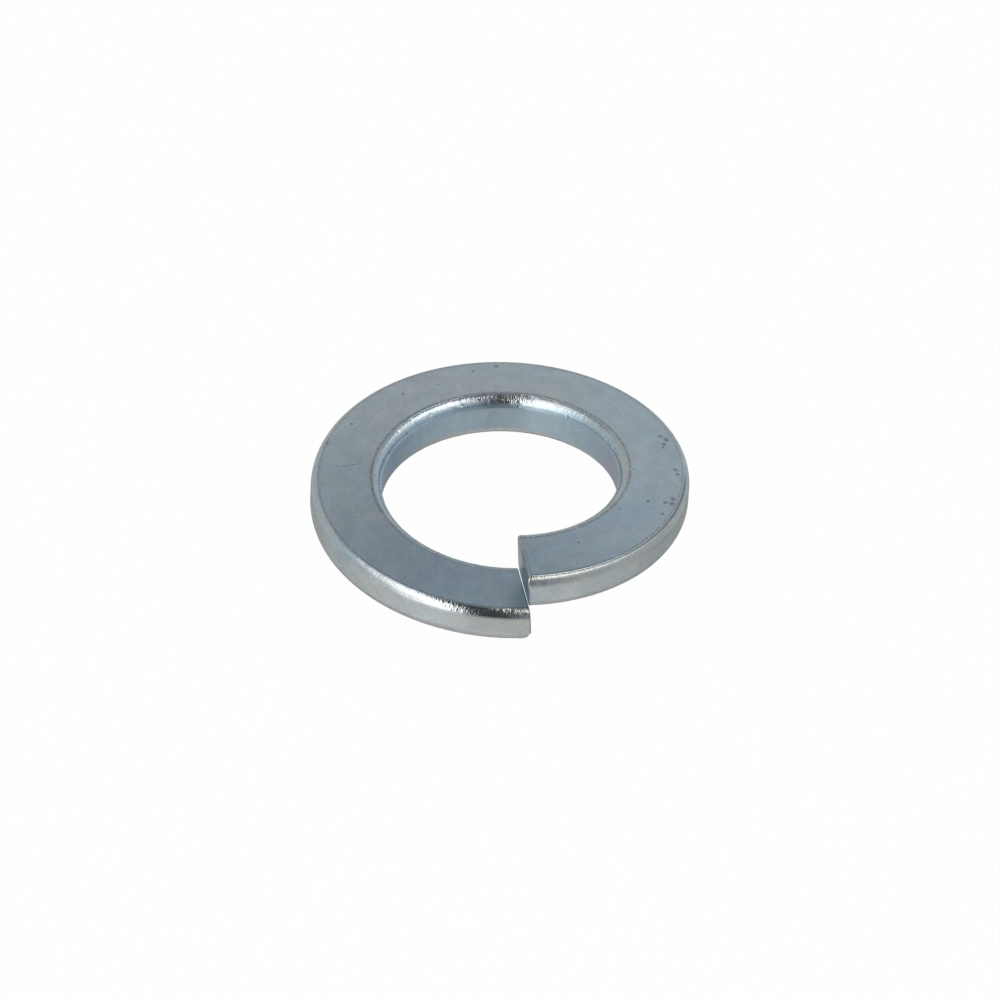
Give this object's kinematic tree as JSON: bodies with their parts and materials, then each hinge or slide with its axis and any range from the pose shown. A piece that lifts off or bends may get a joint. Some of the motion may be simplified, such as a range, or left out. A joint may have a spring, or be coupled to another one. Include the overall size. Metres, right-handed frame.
{
  "type": "spring lock washer",
  "caption": "Split spring lock washer: one turn of keystone steel wire with rounded edges and offset ends, clear zinc plated.",
  "frame": {"origin": "on the bore's axis, level with the ring's lowest point", "axes": "+Z along the bore, towards the side where the high end stands; the split lies towards -Y"},
  "size_m": [0.0204, 0.0204, 0.0048],
  "materials": {
    "zinc_plate": "clear zinc plate, satin, slightly blue"
  },
  "bodies": {
    "root": {"spring_ring": "zinc_plate"}
  },
  "joints": []
}
